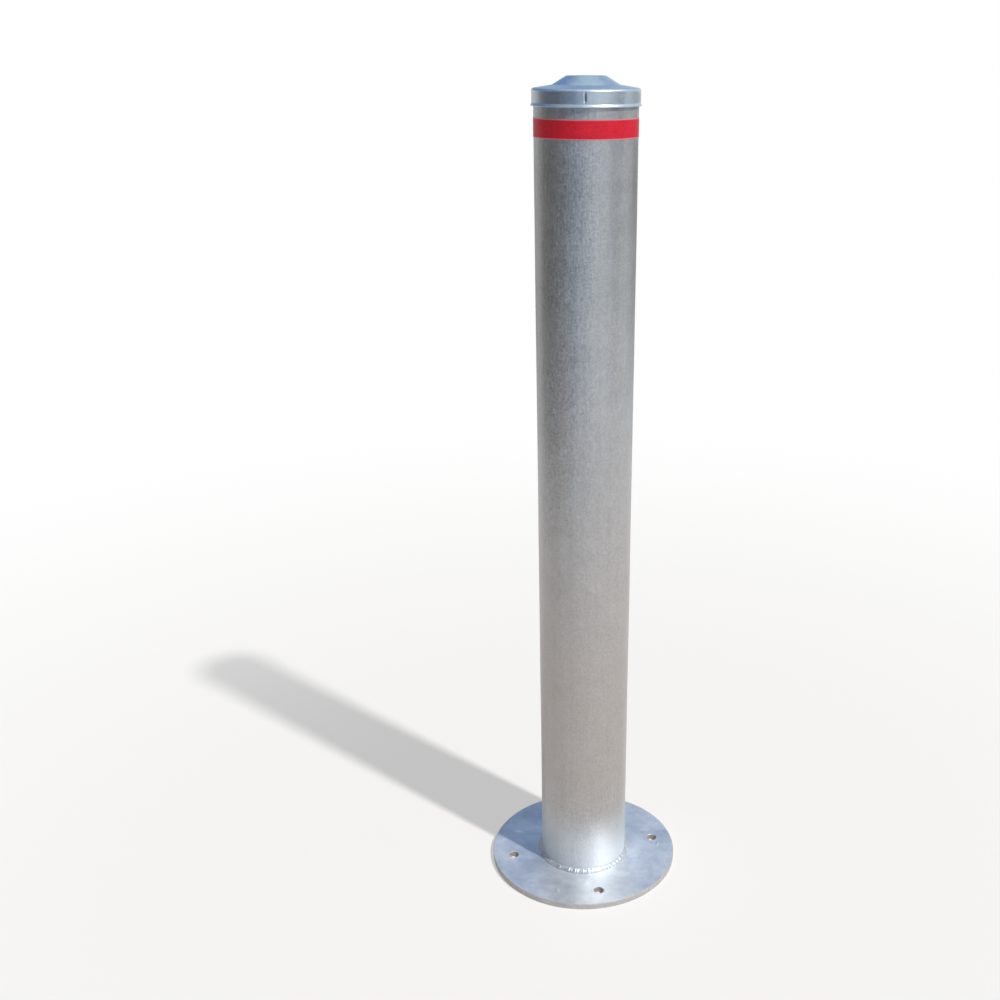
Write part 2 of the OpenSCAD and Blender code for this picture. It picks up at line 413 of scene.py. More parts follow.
# The cap is pressed from coated sheet, so its zinc is thin, even and bluish.
cap_zinc = zinc("pressed_zinc_sheet", "#DBE2E8", "#B0BAC4", spangle=2.6, cloud=26,
                streaks=((30, 30, 2.5, 1.0),), weights=(0.15, 0.7, 0.3, 0.3), roughness=(0.33, 0.42),
                tip=0.03, metallic=0.84, lump=0.02)
# Along each crimp's crease the sheet is painted dark, as painted shade in the crease.
crease_painted_shade = zinc("crimp_crease", "#6A6D72", "#47494C", spangle=2, cloud=6,
                   streaks=((3, 3, 3, 1.0),), weights=(0.2, 0.5, 0.3, 0.3), roughness=(0.5, 0.7),
                   tip=0.02, metallic=0.2)
print("finishes:", [finish.name for finish in (weld_zinc, drop_zinc_painted_glint, cap_zinc, crease_painted_shade)])

# %% [markdown]
# ## The tube
# Welded tube is never quite round. It is rolled from strip, and the rolls leave it wavy by about
# a tenth of a millimetre, which the eye sees at once because the reflections waver.
# A plain cylinder would look like plastic, so the wall is a function of angle and height
# that adds three slow waves. They die away at both ends, where the weld and the tape sit.

# %% Tube
TUBE_WALL = 3 * MM
CAP_SHEET = 1 * MM
CAP_GAP = 0.8 * MM
SHOULDER_BEND = 2.3 * MM
# The chamfer lets the tube's end up into the bend of the cap's shoulder.
tube_chamfer = SHOULDER_BEND - CAP_SHEET / 2 - CAP_GAP
TUBE_STEP = 7 * MM
TUBE_TURN_STEP = 1.5
# Size in millimetres, lobes round the tube, metres of height to a turn, and start in radians.
TUBE_WAVES = ((0.07, 2, 0.41, 0.4), (0.05, 5, 0.23, 2.1), (0.03, 9, 0.16, 4.0))
# The waves start this far from the weld and the tape, and are whole this far from them.
WAVE_START = 5 * MM
WAVE_WHOLE = 70 * MM


def tube_profile():
    """Up the outside, over the chamfer, down the inside and back: a closed loop."""
    inner = tube_r - TUBE_WALL
    corners = np.array([
        [inner, tube_foot], [tube_r, tube_foot], [tube_r, tube_top - tube_chamfer],
        [tube_r - tube_chamfer, tube_top], [inner, tube_top], [inner, tube_foot],
    ])
    return spaced(corners, TUBE_STEP)[:-1]


def tube_waves(angle, z):
    """Departure from round: three waves, each a cosine of lobes times angle plus height over length."""
    total = sum(size * MM * np.cos(lobes * angle + 2 * np.pi * z / length + start)
                for size, lobes, length, start in TUBE_WAVES)
    above_weld = ease(z, weld_high + WAVE_START, weld_high + WAVE_WHOLE)
    below_tape = ease(-z, -band_low + WAVE_START, -band_low + WAVE_WHOLE)
    return total * (above_weld * below_tape)


angles = np.radians(np.arange(0, 360, TUBE_TURN_STEP))
profile = tube_profile()[None] + np.zeros((len(angles), 1, 1))
profile[..., 0] += tube_waves(angles[:, None], profile[..., 1])
tube = make_piece("post_tube_zinc", [grid(around(profile, angles))], [tube_zinc])
dress(tube, "post_tube")

# %% [markdown]
# ## The plate
# A round plate with holes has no single grid, and cutting holes with booleans leaves long thin
# faces that shade badly. So each hole gets its own sector of the plate: straight lines run from
# the hole's edge out to the sector's outline, and the grid follows them down through the hole.
# Zinc piles up in a low ring round each hole and runs off in short tails.

# %% The plate's sectors
PLATE_BEVEL = 0.8 * MM
HOLE_EDGE = 0.5 * MM
# Steps of the grid along a sector's rim, bore and sides, and from outline to hole below and above.
RIM_STEPS = 60
BORE_STEPS = 30
SIDE_STEPS = 32
UNDER_STEPS = 11
OVER_STEPS = 74
# Above 1, this packs the steps on the top face closer to the hole, where the zinc's ring is.
OVER_PACKING = 1.4
ROUNDING_STEPS = 4
sector = 2 * math.pi / hole_count
hole_angles = hole_turn + sector * np.arange(hole_count)


def sector_outline(inner, outer):
    """Round a sector that is centred on +X: along the rim, in, back along the bore, and out."""
    half = math.degrees(sector) / 2
    rim = arc((0, 0), outer, -half, half, RIM_STEPS)
    bore = arc((0, 0), inner, half, -half, BORE_STEPS)
    t = np.linspace(0, 1, SIDE_STEPS + 1)[1:-1, None]
    inward, outward = rim[-1] + (bore[0] - rim[-1]) * t, bore[-1] + (rim[0] - bore[-1]) * t
    return np.concatenate([rim, inward, bore, outward])


print(f"{hole_count} sectors of {math.degrees(sector):.0f} degrees")

# %% Relief of the plate's top
# Slow waves: their height, and the lengths in millimetres that turn them by one radian.
SWELL_HEIGHT = 0.05 * MM
SWELL_X, SWELL_Y, SWELL_SLANT = 19 * MM, 23 * MM, 41 * MM
# The ring of zinc round a hole: its height, its distance from the hole's edge, and its half width.
COLLAR_HEIGHT = 0.22 * MM
COLLAR_GAP = 1.6 * MM
COLLAR_HALF = 1.1 * MM
# Tails: their height, their half width, and how far round their circle they reach each way.
TAIL_HEIGHT = 0.8 * MM
TAIL_HALF = 1.4 * MM
TAIL_REACH = math.radians(55)
# For each tail, the middle (x, y) of its circle, its radius, and its direction there.
zinc_tails = ((98.5, 6.0, 5.0, -12.0), (-30.0, -96.0, 4.0, 200.0), (-92.0, 30.0, 4.5, 80.0))


def plate_relief(x, y):
    """Height added to the top face: slow waves, a ring of zinc round each hole, and zinc tails.

    A ring is a bell across its distance from the hole. A tail is a bell across its circle,
    times a flatter bell along it.
    """
    swell = np.sin(x / SWELL_X + 1.3) * np.cos(y / SWELL_Y) + np.sin((x + 2 * y) / SWELL_SLANT)
    height = SWELL_HEIGHT * swell
    for a in hole_angles:
        gap = np.hypot(x - hole_circle_r * math.cos(a), y - hole_circle_r * math.sin(a)) - hole_r
        height = height + COLLAR_HEIGHT * np.exp(-((gap - COLLAR_GAP) / COLLAR_HALF) ** 2)
    for x0, y0, radius, lean in zinc_tails:
        dx, dy = x - x0 * MM, y - y0 * MM
        off = (np.arctan2(dy, dx) - math.radians(lean) + np.pi) % (2 * np.pi) - np.pi
        across = np.hypot(dx, dy) - radius * MM
        height = height + TAIL_HEIGHT * np.exp(-(off / TAIL_REACH) ** 4 - (across / TAIL_HALF) ** 2)
    return height


def lift(points):
    """Raise points of the plate as its relief does, by nothing at the floor and fully on top."""
    x, y, z = points[..., 0], points[..., 1], points[..., 2]
    return np.stack([x, y, z + plate_relief(x, y) * ease(z, floor_z, plate_top)], axis=-1)


beside = hole_circle_r + hole_r + COLLAR_GAP
ring_height = plate_relief(beside * math.cos(hole_turn), beside * math.sin(hole_turn))
print(f"relief beside the first hole: {ring_height / MM:.2f} mm")


# %% Grids of one sector
def hole_sector(turn):
    """Three grids: in from the underside's outline, up the hole's wall, and out over the top.

    The rows run clockwise, so that the faces point out of the plate.
    """
    outline = sector_outline(bore_r + HOLE_EDGE, plate_r - PLATE_BEVEL)
    middle = np.array([hole_circle_r, 0])
    ways = outline - middle
    ways = ways / np.linalg.norm(ways, axis=1, keepdims=True)
    under = np.linspace(1, 0, UNDER_STEPS + 1)[:-1, None]
    over = (np.linspace(0, 1, OVER_STEPS + 1) ** OVER_PACKING)[1:, None]
    edge_r = hole_r + HOLE_EDGE
    wall = np.concatenate([
        arc((edge_r, floor_z + HOLE_EDGE), HOLE_EDGE, -90, -180, ROUNDING_STEPS),
        arc((edge_r, plate_top - HOLE_EDGE), HOLE_EDGE, 180, 90, ROUNDING_STEPS),
    ])
    ring = middle + ways[:, None] * wall[None, :, :1]
    low = outline[:, None] * under + ring[:, :1] * (1 - under)
    high = outline[:, None] * over + ring[:, -1:] * (1 - over)
    flat = np.concatenate([low, ring, high], axis=1)
    c, s = math.cos(turn), math.sin(turn)
    x, y = flat[..., 0] * c - flat[..., 1] * s, flat[..., 0] * s + flat[..., 1] * c
    z = np.concatenate([np.full(low.shape[1], floor_z), wall[:, 1], np.full(high.shape[1], plate_top)])
    points = lift(np.stack([x, y, z + 0 * x], axis=-1))
    inside = slice(low.shape[1], low.shape[1] + len(wall) - 2)
    before, after = slice(0, inside.start + 1), slice(inside.stop - 1, None)
    return [grid(points[::-1, part], closed_cols=False, finish=number)
            for part, number in ((before, 0), (inside, 2), (after, 0))]


plate_grids = [part for a in hole_angles for part in hole_sector(a)]
print(len(plate_grids), "grids round the holes")

# %% Put the plate together
# Zinc that stands higher than this takes the drops' glossier finish, painted near white as a painted
# glint.
DROP_FROM = 0.35 * MM
BORE_EDGE_STEPS = 2


def whole_turn(steps):
    """That many directions to a sector, all round, from the first sector's side."""
    count = steps * hole_count
    return hole_turn - sector / 2 + 2 * math.pi * np.arange(count) / count


rim_profile = np.concatenate([
    arc((plate_r - PLATE_BEVEL, floor_z + PLATE_BEVEL), PLATE_BEVEL, -90, 0, ROUNDING_STEPS),
    arc((plate_r - PLATE_BEVEL, plate_top - PLATE_BEVEL), PLATE_BEVEL, 0, 90, ROUNDING_STEPS),
])
bore_profile = np.concatenate([
    arc((bore_r + HOLE_EDGE, plate_top - HOLE_EDGE), HOLE_EDGE, 90, 180, BORE_EDGE_STEPS),
    arc((bore_r + HOLE_EDGE, floor_z + HOLE_EDGE), HOLE_EDGE, 180, 270, BORE_EDGE_STEPS),
])
rim_points = lift(around(rim_profile, whole_turn(RIM_STEPS)))
bore_points = lift(around(bore_profile, whole_turn(BORE_STEPS)))
plate_grids.append(grid(rim_points, closed_cols=False, finish=1))
plate_grids.append(grid(bore_points, closed_cols=False))
plate = make_piece("base_plate_zinc", plate_grids, [plate_zinc, edge_zinc, hole_zinc, drop_zinc_painted_glint])
_, _, z = face_centres(plate)
# The tops of the zinc tails take the drops' finish with its painted glint.
mark(plate, z > plate_top + DROP_FROM, 3)
dress(plate, "base_plate")

# %% [markdown]
# ## The welds
# A welder lays a fillet in short overlapping pools, which freeze as curved ripples.
# Where one run of weld ends and the next begins there is a small lump.
# A bump map would vanish from the outline, so the ripples are in the grid itself:
# one parameter runs round the tube, the other across the face from toe to tube.

# %% Ripples and drops
WELD_LEG = 5 * MM
WELD_BULGE = 0.6 * MM
WELD_RIPPLE = 0.4 * MM
WELD_PITCH = 5 * MM
ROOT_LEG = 2.5 * MM
# How far the pools wander along the bead and lag in the middle of the face, as turns of their phase.
WANDER_SLOW = np.radians(60)
WANDER_QUICK = np.radians(45)
POOL_LAG = np.pi / 2
# The least that a drowned pool still stands proud, as a share of a full one.
POOL_LEAST = 0.1


def ripples(angle, share):
    """Scallops |sin(phase / 2)|: the phase counts pools, wanders, and lags in the middle of the face.

    Slow waves along the bead make some pools stand proud and let the zinc drown others.
    """
    count = round(2 * np.pi * tube_r / WELD_PITCH)
    wander = WANDER_SLOW * np.sin(5 * angle) + WANDER_QUICK * np.sin(13 * angle)
    pools = np.abs(np.sin((count * angle + wander + POOL_LAG * np.sin(np.pi * share)) / 2))
    proud = 0.5 + 0.3 * np.sin(4 * angle + 1.0) + 0.35 * np.sin(11 * angle + 2.0) * np.sin(17 * angle)
    return pools * np.clip(proud, POOL_LEAST, 1)


# Drops of zinc on the bead: direction in degrees, half width in degrees, and height in millimetres.
drops = np.array([
    (-109, 1.0, 0.7), (-105.5, 0.8, 0.5), (-101, 1.5, 1.0), (-97.5, 0.8, 0.6), (-90, 0.9, 0.6),
    (-84, 1.2, 0.7), (-79, 0.8, 0.5), (-62, 1.4, 0.8), (-56, 1.0, 0.7), (-51, 1.1, 0.6),
    (-45, 1.2, 0.8), (-39, 0.9, 0.6), (-33, 1.1, 0.7), (-26, 0.9, 0.5), (-8, 1.2, 0.6),
    (25, 1.6, 0.8), (61, 1.0, 0.6), (118, 1.5, 0.9), (149, 1.0, 0.5), (196, 1.6, 0.8),
    (221, 1.0, 0.6), (238, 1.1, 0.7),
])


def lumps(angle):
    """The drops' height: for each one a bell of its own width round its own place."""
    place, width, height = drops.T
    apart = (angle[..., None] - np.radians(place) + np.pi) % (2 * np.pi) - np.pi
    return (height * MM * np.exp(-(apart / np.radians(width)) ** 2)).sum(-1)


print(f"{round(2 * np.pi * tube_r / WELD_PITCH)} pools and {len(drops)} drops")


# %% The upper weld
WELD_TURN_STEP = 1 / 3
WELD_FACE_STEPS = 14
# About the ripples' mean, taken off them so that they swell the face as much as they hollow it.
RIPPLE_MEAN = 0.3
# A drop takes the glossy finish with its painted glint where it stands higher than this, within this
# share of the face's middle.
DROP_MARK = 0.3 * MM
DROP_SHARE = 0.28


def fillet(angle, share):
    """A point of the weld's face: on the straight line from toe to tube, swollen square to it."""
    leg = WELD_LEG * (1 + 0.06 * np.sin(3 * angle + 0.7) + 0.04 * np.sin(7 * angle))
    belly = np.sin(np.pi * share)
    ripple = WELD_RIPPLE * (ripples(angle, share) - RIPPLE_MEAN)
    swell = (WELD_BULGE + ripple + lumps(angle)) * belly / math.sqrt(2)
    return np.stack([tube_r + leg * (1 - share) + swell, plate_top + leg * share + swell], axis=-1)


def bead_grid(angles, shares):
    """The face of the upper weld, and its root in the corner between plate and tube."""
    a, s = np.meshgrid(angles, shares, indexing="ij")
    face = fillet(a, s)
    root = np.broadcast_to(np.array([tube_r, plate_top]), face[:, :1].shape)
    return around(np.concatenate([face, root], axis=1), angles)


bead_angles = np.radians(np.arange(0, 360, WELD_TURN_STEP))
weld_grid = grid(bead_grid(bead_angles, np.linspace(0, 1, WELD_FACE_STEPS + 1)))
base_weld = make_piece("base_weld_bead", [weld_grid], [weld_zinc, drop_zinc_painted_glint])
_, turn, z = face_centres(base_weld)
share = (z - plate_top) / WELD_LEG
strayed = abs(share - 0.5 - 0.2 * np.sin(9 * turn))
# The drops' crests take the glossy finish with its painted glint.
mark(base_weld, (lumps(turn) > DROP_MARK) & (strayed < DROP_SHARE), 1)
dress(base_weld, "base_weld")

# %% The lower weld
ROOT_TURN_STEP = 0.75
ROOT_FACE_STEPS = 8
# The lower weld's bulge and its ripples, as shares of its leg.
ROOT_BULGE = 0.16
ROOT_RIPPLE = 0.1


def root_bead_grid(angles, shares):
    """The lower weld, from the tube's end across to the plate's bore, bulging down and inward."""
    a, s = np.meshgrid(angles, shares, indexing="ij")
    swell = (ROOT_BULGE + ROOT_RIPPLE * ripples(a, s)) * ROOT_LEG * np.sin(np.pi * s)
    face = np.stack([bore_r - ROOT_LEG * (1 - s) - swell, tube_foot - ROOT_LEG * s - swell], axis=-1)
    root = np.broadcast_to(np.array([bore_r, tube_foot]), face[:, :1].shape)
    return around(np.concatenate([face, root], axis=1), angles)


root_angles = np.radians(np.arange(0, 360, ROOT_TURN_STEP))
root_grid = grid(root_bead_grid(root_angles, np.linspace(0, 1, ROOT_FACE_STEPS + 1)))
root_weld = make_piece("root_weld_bead", [root_grid], [weld_zinc])
dress(root_weld, "root_weld")

# %% [markdown]
# ## The cap
# The cap is one disc of thin sheet pressed to shape: a raised middle, a flat ring,
# a rounded shoulder and a skirt whose lip flares out. Four crimps pinch it on to the tube.
# The sheet's middle line is bent round its corners, and half the thickness is laid off on each side,
# so the sheet keeps one thickness throughout. Then the crimps push inside and outside alike.

# %% Bending a sheet
BEND_STEPS = 8
LIP_EDGE_STEPS = 6


def unit(v):
    """A vector divided by its length."""
    return v / np.linalg.norm(v)


def bend(a, b, c, radius):
    """Round the corner b: points of the arc, and the way to the path's left at each of them."""
    back, onward = unit(a - b), unit(c - b)
    half = math.acos(back @ onward) / 2
    centre = b + unit(back + onward) * radius / math.sin(half)
    start = b + back * radius / math.tan(half) - centre
    side = np.sign((b - a)[0] * (c - b)[1] - (b - a)[1] * (c - b)[0])
    swept = side * (math.pi - 2 * half) * np.linspace(0, 1, BEND_STEPS + 1)
    turn = math.atan2(start[1], start[0]) + swept
    out = np.stack([np.cos(turn), np.sin(turn)], axis=-1)
    return centre + radius * out, -side * out


def sheet_outline(corners, radii, thickness):
    """Both faces of a bent sheet, closed by a round edge at its outer end, as one open loop."""
    corners = np.array(corners)
    points, lefts = [corners[:1]], [np.array([[0.0, 1.0]])]
    for a, b, c, radius in zip(corners, corners[1:], corners[2:], radii):
        on_arc, left = bend(a, b, c, radius)
        points.append(on_arc)
        lefts.append(left)
    last = unit(corners[-1] - corners[-2])
    left = np.array([-last[1], last[0]])
    points, lefts = np.concatenate(points), np.concatenate(lefts)
    toward = math.degrees(math.atan2(left[1], left[0]))
    end = arc(corners[-1] - last * thickness / 2, thickness / 2, toward - 180, toward, LIP_EDGE_STEPS)
    under, over = points - lefts * thickness / 2, points + lefts * thickness / 2
    return np.concatenate([under, end, over[::-1]])


print("points on one bend:", BEND_STEPS + 1)

# %% The cap's section
SKIRT_H = 17.5 * MM
LIP_H = 3 * MM
LIP_FLARE = 1.3 * MM
RING_W = 22 * MM
RING_RISE = 3.3 * MM
DOME_H = 9 * MM
DOME_SLOPE = math.radians(30)
FOOT_BEND = 3 * MM
DOME_BEND = 2.5 * MM
LIP_BEND = 3 * MM
CAP_STEP = 1.2 * MM
ring_z = cap_top - DOME_H - RING_RISE
lip_z = ring_z - SKIRT_H
skirt_r = tube_r + CAP_GAP + CAP_SHEET


def cap_outline():
    """The cap's section: under the middle, out and down to the lip, and back over the top."""
    sheet_z = cap_top - CAP_SHEET / 2
    foot_r = skirt_r - RING_W
    wall_r = skirt_r - CAP_SHEET / 2
    corners = [
        (0, sheet_z), (foot_r - DOME_H / math.tan(DOME_SLOPE), sheet_z), (foot_r, sheet_z - DOME_H),
        (wall_r, sheet_z - DOME_H - RING_RISE), (wall_r, lip_z + LIP_H), (wall_r + LIP_FLARE, lip_z),
    ]
    return sheet_outline(corners, [DOME_BEND, FOOT_BEND, SHOULDER_BEND, LIP_BEND], CAP_SHEET)


section = spaced(cap_outline(), CAP_STEP)
print(len(section), "points round the sheet's section")

# %% Crimps
CRIMP_TOOL_R = 2.8 * MM
CRIMP_COUNT = 4
CRIMP_TURN = math.radians(-91)
# The groove stays this far from the lip's bend and from the ring's height.
CRIMP_OVER_LIP = 0.5 * MM
CRIMP_UNDER_RING = 1.5 * MM
CREASE_DEPTH = 0.4 * MM
CREASE_HALF = 0.4 * MM
CREASE_FADE = 1.5 * MM
# In degrees: the steps between crimps and across one, and how far the finer ones reach each way.
CAP_TURN_STEP = 1.5
CRIMP_TURN_STEP = 0.22
CRIMP_REACH = 4.5
crimp_places = CRIMP_TURN + 2 * np.pi * np.arange(CRIMP_COUNT) / CRIMP_COUNT


def crimp_push(angle, profile):
    """How far a round-ended groove pushes the sheet in: the rise of the tool's circle over its chord.

    On the outside the tool's edge adds a narrow crease along the groove's middle, a bell across.
    """
    r, z = profile[..., 0], profile[..., 1]
    apart = (angle[..., None] - crimp_places + np.pi) % (2 * np.pi) - np.pi
    across = skirt_r * np.abs(apart).min(-1)
    low, high = lip_z + LIP_H + CRIMP_OVER_LIP + CRIMP_TOOL_R, ring_z - CRIMP_UNDER_RING - CRIMP_TOOL_R
    past = np.maximum(0, np.maximum(low - z, z - high))
    inside = (r < skirt_r - 0.6 * CAP_SHEET).astype(float)
    tool = CRIMP_TOOL_R + inside * CAP_SHEET
    from_axis = np.hypot(across, past)
    depth = np.sqrt(np.maximum(tool**2 - from_axis**2, 0)) - (tool - CAP_GAP)
    bell = CREASE_DEPTH * np.exp(-(across / CREASE_HALF) ** 2)
    crease = bell * (1 - ease(past, 0, CREASE_FADE)) * (1 - inside)
    on_skirt = r > tube_r
    return np.where(on_skirt, np.maximum(depth, 0) + crease, 0)


def crimp_angles():
    """Even steps round the cap, with finer ones across each crimp."""
    places = np.degrees(CRIMP_TURN) + 360 * np.arange(CRIMP_COUNT) / CRIMP_COUNT
    even = np.arange(0, 360, CAP_TURN_STEP)
    apart = (even[:, None] - places + 180) % 360 - 180
    kept = even[np.abs(apart).min(1) > CRIMP_REACH + CAP_TURN_STEP / 2]
    close = places[:, None] + np.arange(-CRIMP_REACH, CRIMP_REACH + CRIMP_TURN_STEP / 2, CRIMP_TURN_STEP)
    return np.radians(np.sort(np.concatenate([kept, close.ravel() % 360])))


cap_angles = crimp_angles()
print(len(cap_angles), "directions round the cap")

# %% Put the cap together
# The crease's painted shade keeps this far from the lip's bend, the ring and the sheet's inner face.
CREASE_OVER_LIP = 1 * MM
CREASE_UNDER_RING = 1.8 * MM
CREASE_OUTSIDE = 0.3 * MM
pressed = section[None] + np.zeros((len(cap_angles), 1, 1))
pressed[..., 0] -= crimp_push(cap_angles[:, None], pressed)
cap_grid = grid(around(pressed, cap_angles), closed_cols=False)
cap = make_piece("top_cap_sheet", [cap_grid], [cap_zinc, crease_painted_shade])
r, turn, z = face_centres(cap)
off = (turn - CRIMP_TURN + np.pi / CRIMP_COUNT) % (2 * np.pi / CRIMP_COUNT) - np.pi / CRIMP_COUNT
in_height = (z > lip_z + LIP_H + CREASE_OVER_LIP) & (z < ring_z - CREASE_UNDER_RING)
outside = r > tube_r + CREASE_OUTSIDE
# The faces along each crease's middle take the painted shade.
mark(cap, (abs(off) * skirt_r < CREASE_HALF) & outside & in_height, 1)
dress(cap, "top_cap")

# %% [markdown]
# ## The tape
# Reflective tape is a film of fine glass beads in clear red plastic. It is wound once round the
# tube at about hand height and lapped over its own start. A closed ring would hide that, so it is
# a strip carried along its length: near the end it climbs by its own thickness on to the first turn.

# %% The tape's finish
BEAD_MM = 0.9
# The pale edge starts this far from the tape's edge, and is whole this far from it.
EDGE_START = 1.2 * MM
EDGE_WHOLE = 0.6 * MM
FILM_RELIEF = 0.12 * MM


def tape_finish():
    """Red film: fine bright beads under clear plastic, with a pale line at each cut edge."""
    material, tree, shader, place = start_material(
        "red_reflective_film", IOR=1.45, Specular_IOR_Level=0.3)
    beads = add(tree, "ShaderNodeTexVoronoi", {"Vector": place, "Scale": 1 / (BEAD_MM * MM)})
    bead = add(tree, "ShaderNodeSeparateColor", {"Color": beads.outputs["Color"]}).outputs["Red"]
    clouds = noise(tree, place, [16, 16, 16], detail=4.0, roughness=0.6)
    rubs = noise(tree, place, [24, 24, 1.2], detail=2.0)
    tone = blend_terms(tree, [(bead, 0.5), (clouds, 0.8), (rubs, 0.4)])
    red = mixed(tree, tone, "#BC1226", "#E3253C")
    height = add(tree, "ShaderNodeSeparateXYZ", {"Vector": place}).outputs["Z"]
    middle = (band_low + band_high) / 2
    from_middle = add(tree, "ShaderNodeMath", {0: height, 1: middle}, operation="SUBTRACT").outputs[0]
    away = add(tree, "ShaderNodeMath", {0: from_middle}, operation="ABSOLUTE").outputs[0]
    half = (band_high - band_low) / 2
    edge = add(tree, "ShaderNodeMapRange",
               {"Value": away, "From Min": half - EDGE_START, "From Max": half - EDGE_WHOLE})
    tree.links.new(mixed(tree, edge.outputs["Result"], red, "#D98A92"), shader.inputs["Base Color"])
    tree.links.new(between(tree, clouds, 0.38, 0.5), shader.inputs["Roughness"])
    relief = blend_terms(tree, [(bead, 0.3), (clouds, 1.0)])
    bump = add(tree, "ShaderNodeBump", {"Height": relief, "Distance": FILM_RELIEF, "Strength": 0.5})
    tree.links.new(bump.outputs["Normal"], shader.inputs["Normal"])
    return material


film = tape_finish()
print("finish:", film.name)

# %% The tape's strip
TAPE_T = 0.3 * MM
TAPE_LAP = 15 * MM
TAPE_CLIMB = 3 * MM
TAPE_START = math.pi / 2
TAPE_POINTS = 300
TAPE_ROWS = 12


def tape_grid():
    """Along the film by angle, and round its section: up the outside, down the inside.

    Both ends taper to nothing, so the strip is closed without end faces.
    """
    lap = TAPE_LAP / tube_r
    whole = TAPE_START + 2 * np.pi
    a = TAPE_START + np.linspace(0, 2 * np.pi + lap, TAPE_POINTS)
    climb = TAPE_T * ease(a, whole - TAPE_CLIMB / tube_r, whole)
    z = np.linspace(band_low, band_high, TAPE_ROWS)
    outer = np.stack([np.full(TAPE_ROWS, TAPE_T), z], axis=-1)
    inner = np.stack([np.zeros(TAPE_ROWS), z[::-1]], axis=-1)
    loop = np.concatenate([outer, inner])[None] + np.zeros((TAPE_POINTS, 1, 1))
    loop[[0, -1], :, 0] = TAPE_T / 2
    loop[..., 0] += tube_r + climb[:, None]
    return around(loop, a)


tape = make_piece("reflective_tape", [grid(tape_grid(), closed_rows=False)], [film])
dress(tape, "reflective_band")

# %% [markdown]
# ## The studio's floor
# The floor is plain, pale and matt, and keeps the post's shadow. Away from the post it fades to
# the white of the background. More light would do that too, but it would bleach the post,
# so the floor glows instead, and only for the camera and in mirrors.

# %% Floor
FLOOR_SIZE = 12.0
FADE_START = 0.25
FADE_END = 2.2
FADE_LEAST = 0.45


def either_ray(tree, *kinds):
    """1 for the rays of these kinds, and 0 for all others."""
    rays = add(tree, "ShaderNodeLightPath").outputs
    total = rays[kinds[0]]
    for kind in kinds[1:]:
        inputs = {0: total, 1: rays[kind]}
        total = add(tree, "ShaderNodeMath", inputs, operation="ADD", use_clamp=True).outputs[0]
    return total


def show(tree, surface):
    """Make this shader the one that the material shows."""
    out = next(n for n in tree.nodes if n.type == "OUTPUT_MATERIAL")
    tree.links.new(surface.outputs[0], out.inputs["Surface"])


def floor_finish():
    """Pale matt floor that turns to plain white away from the object, for the eye and in mirrors.

    Under the plate it stays matt, so the holes look down on a floor in shade.
    """
    material, tree, shader, place = start_material(
        "pale_studio_floor", Base_Color=linear("#F2F0ED"), Roughness=1.0)
    far = add(tree, "ShaderNodeVectorMath", {0: place}, operation="LENGTH").outputs["Value"]
    distances = {"Value": far, "From Min": FADE_START, "From Max": FADE_END, "To Min": FADE_LEAST}
    fade = add(tree, "ShaderNodeMapRange", distances, interpolation_type="SMOOTHSTEP")
    seen = either_ray(tree, "Is Camera Ray", "Is Transmission Ray", "Is Glossy Ray")
    past_holes = {"Value": far, "From Min": hole_circle_r + 2 * hole_r, "From Max": plate_r}
    clear = add(tree, "ShaderNodeMapRange", past_holes).outputs["Result"]
    share = times(tree, seen, times(tree, clear, fade.outputs["Result"]))
    white = add(tree, "ShaderNodeEmission", {"Color": (1, 1, 1, 1), "Strength": 1.0})
    show(tree, add(tree, "ShaderNodeMixShader", {0: share, 1: shader.outputs[0], 2: white.outputs[0]}))
    return material


def stage_sheet(name, points, material):
    """A sheet of the studio, which is no part of the object."""
    mesh = bpy.data.meshes.new(name)
    flat, faces, _ = grid(points, closed_rows=False, closed_cols=False)
    mesh.from_pydata(flat.tolist(), [], faces.tolist())
    mesh.materials.append(material)
    sheet = bpy.data.objects.new(name, mesh)
    bpy.context.scene.collection.objects.link(sheet)
    return sheet


corners = np.linspace(-FLOOR_SIZE / 2, FLOOR_SIZE / 2, 2)
x, y = np.meshgrid(corners, corners, indexing="ij")
stage_sheet("studio_floor", np.stack([x, y, floor_z + 0 * x], axis=-1), floor_finish())
print(f"floor: {FLOOR_SIZE} m square")

# %% [markdown]
# ## What the metal mirrors
# Metal shows what surrounds it, so a round metal post needs darker and lighter things round it to
# look round. Walls and lamps could stand there, but they would show in the picture and shade the
# floor. Here a drum of graded colours stands round the studio, and only mirror-like rays see it.
# It is solid about as high as the upper post and thins out above and below, so the plate and the
# cap's top mirror the sky, and the tube's lower half mirrors the pale floor.

# %% Drum of graded greys
DRUM_R = 1.7
DRUM_H = 2.0
DRUM_PANELS = 96
# Direction in degrees from +X, and the colour that stands there.
drum_colours = (
    (-180, "#343436"), (-164, "#3C3D40"), (-140, "#22324A"), (-116, "#4A7499"), (-92, "#A3BBD3"),
    (-66, "#DEEAF3"), (-42, "#C3D1DF"), (-28, "#8393A1"), (-18, "#24303A"), (-8, "#5A6973"),
    (6, "#EFF5FA"), (26, "#878F94"), (44, "#1E2224"), (70, "#8F9BA6"), (110, "#A3ABB3"),
    (140, "#EDE8E4"), (168, "#303032"), (180, "#343436"),
)
# Heights in metres between which the drum thickens, and what they rise by for each metre towards +X.
DRUM_FOOT = (-0.3, 0.62)
FOOT_SLANT = 0.12
# Heights between which it thins out again, and what they fall by for each metre towards +Y.
DRUM_BRIM = (1.2, 1.45)
BRIM_SLANT = 0.3


